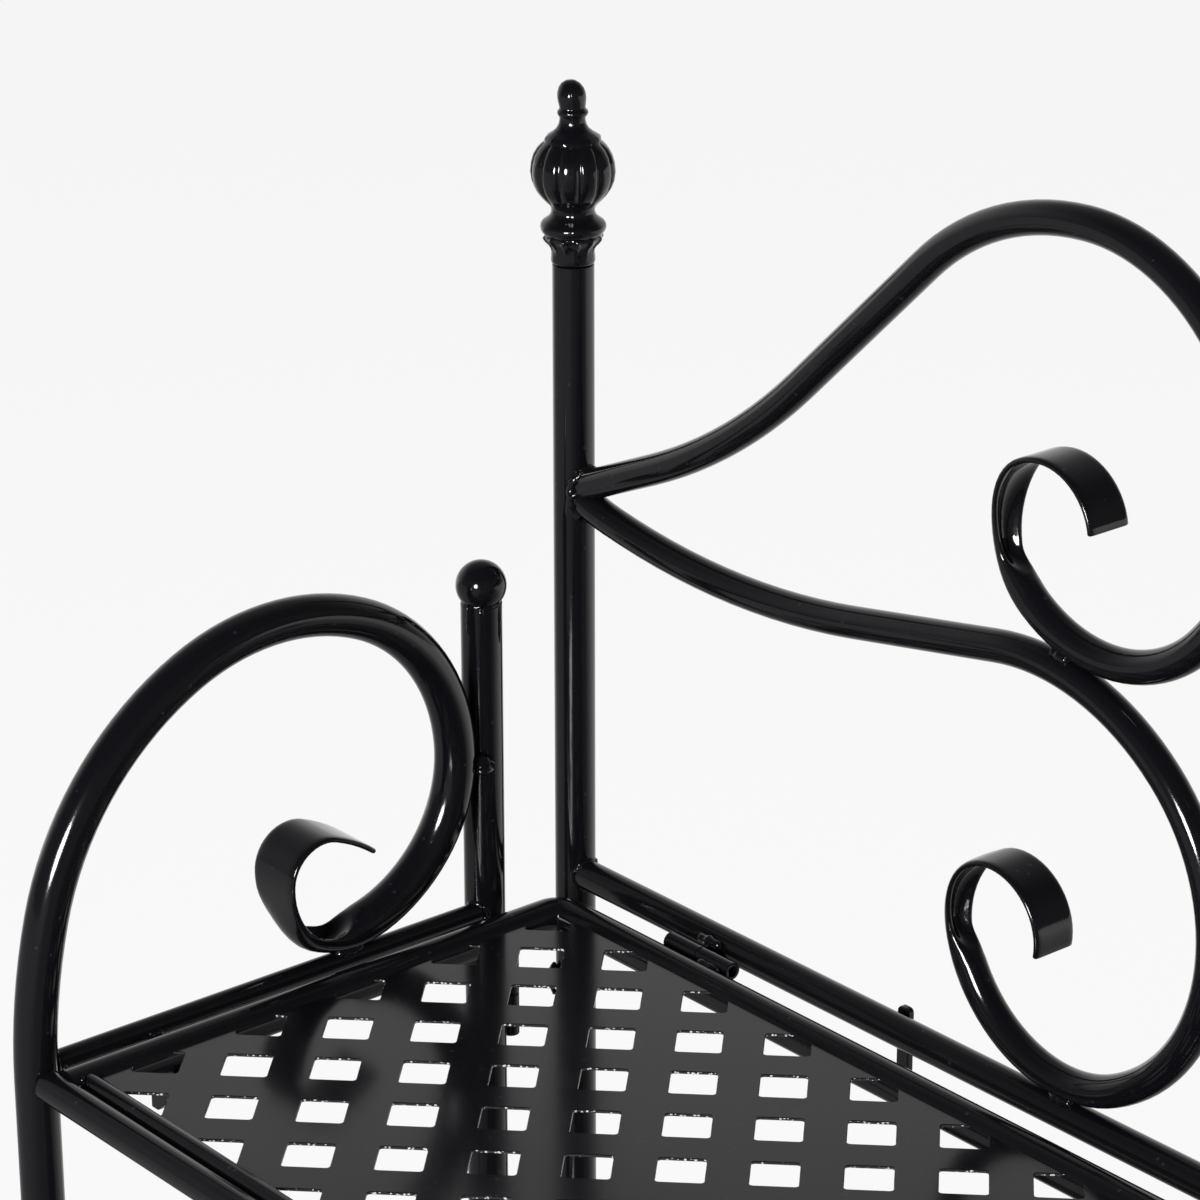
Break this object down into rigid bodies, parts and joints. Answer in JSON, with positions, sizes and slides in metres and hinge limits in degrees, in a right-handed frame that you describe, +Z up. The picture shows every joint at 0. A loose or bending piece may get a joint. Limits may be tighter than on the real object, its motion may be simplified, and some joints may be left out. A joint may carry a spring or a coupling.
{
  "type": "tiered plant stand",
  "caption": "Folding plant stand of bent black steel tube: scrolled back with urn finials, scrolled arms, and lift-up shelves of punched sheet between hinged side panels.",
  "frame": {"origin": "middle of the stand's footprint, on the floor", "axes": "+X to the right as seen from the front, +Y towards the scrolled back, +Z up"},
  "size_m": [0.727, 0.2814, 1.0088],
  "materials": {
    "tube": "gloss black powder coat on bent steel tube",
    "sheet": "gloss black powder coat on punched steel sheet",
    "casting": "gloss black powder coat on a small casting",
    "foot_cap": "black moulded cap"
  },
  "bodies": {
    "back_frame": {"arch_scroll_left": "tube", "arch_scroll_right": "tube", "back_foot_left": "foot_cap", "back_foot_right": "foot_cap", "back_post_left": "tube", "back_post_right": "tube", "back_rail_bottom": "tube", "back_rail_middle": "tube", "back_rail_top": "tube", "lower_scroll_left": "tube", "lower_scroll_right": "tube", "panel_hinge_fixed_bottom_left": "tube", "panel_hinge_fixed_bottom_right": "tube", "panel_hinge_fixed_top_left": "tube", "panel_hinge_fixed_top_right": "tube", "rail_hook_left": "tube", "rail_hook_right": "tube", "shelf_hinge_fixed_bottom_left": "tube", "shelf_hinge_fixed_bottom_right": "tube", "shelf_hinge_fixed_middle_left": "tube", "shelf_hinge_fixed_middle_right": "tube", "shelf_hinge_fixed_top_left": "tube", "shelf_hinge_fixed_top_right": "tube", "urn_finial_left": "casting", "urn_finial_right": "casting"},
    "shelf_bottom": {"front_rail_bottom": "tube", "shelf_frame_bottom": "tube", "shelf_hinge_moving_bottom_left": "tube", "shelf_hinge_moving_bottom_right": "tube", "shelf_sheet_bottom": "sheet"},
    "shelf_middle": {"front_rail_middle": "tube", "shelf_frame_middle": "tube", "shelf_hinge_moving_middle_left": "tube", "shelf_hinge_moving_middle_right": "tube", "shelf_sheet_middle": "sheet"},
    "shelf_top": {"front_rail_top": "tube", "shelf_frame_top": "tube", "shelf_hinge_moving_top_left": "tube", "shelf_hinge_moving_top_right": "tube", "shelf_sheet_top": "sheet"},
    "side_panel_left": {"ball_left": "tube", "ball_post_foot_left": "foot_cap", "ball_post_left": "tube", "leg_foot_left": "foot_cap", "panel_hinge_moving_bottom_left": "tube", "panel_hinge_moving_top_left": "tube", "scroll_leg_left": "tube", "side_rail_bottom_left": "tube", "side_rail_middle_left": "tube", "side_rail_top_left": "tube"},
    "side_panel_right": {"ball_post_foot_right": "foot_cap", "ball_post_right": "tube", "ball_right": "tube", "leg_foot_right": "foot_cap", "panel_hinge_moving_bottom_right": "tube", "panel_hinge_moving_top_right": "tube", "scroll_leg_right": "tube", "side_rail_bottom_right": "tube", "side_rail_middle_right": "tube", "side_rail_top_right": "tube"}
  },
  "joints": [
    {"name": "shelf_bottom_lift", "type": "hinge", "parent": "back_frame", "child": "shelf_bottom", "pos_m": [0, 0.1107, 0.13], "axis": [-1, 0, 0], "range_deg": [0, 90]},
    {"name": "shelf_middle_lift", "type": "hinge", "parent": "back_frame", "child": "shelf_middle", "pos_m": [0, 0.1107, 0.405], "axis": [-1, 0, 0], "range_deg": [0, 90]},
    {"name": "shelf_top_lift", "type": "hinge", "parent": "back_frame", "child": "shelf_top", "pos_m": [0, 0.1107, 0.68], "axis": [-1, 0, 0], "range_deg": [0, 90]},
    {"name": "side_panel_left_swing", "type": "hinge", "parent": "back_frame", "child": "side_panel_left", "pos_m": [-0.3475, 0.091, 0], "axis": [0, 0, -1], "range_deg": [0, 90]},
    {"name": "side_panel_right_swing", "type": "hinge", "parent": "back_frame", "child": "side_panel_right", "pos_m": [0.3475, 0.091, 0], "axis": [0, 0, 1], "range_deg": [0, 90]}
  ]
}
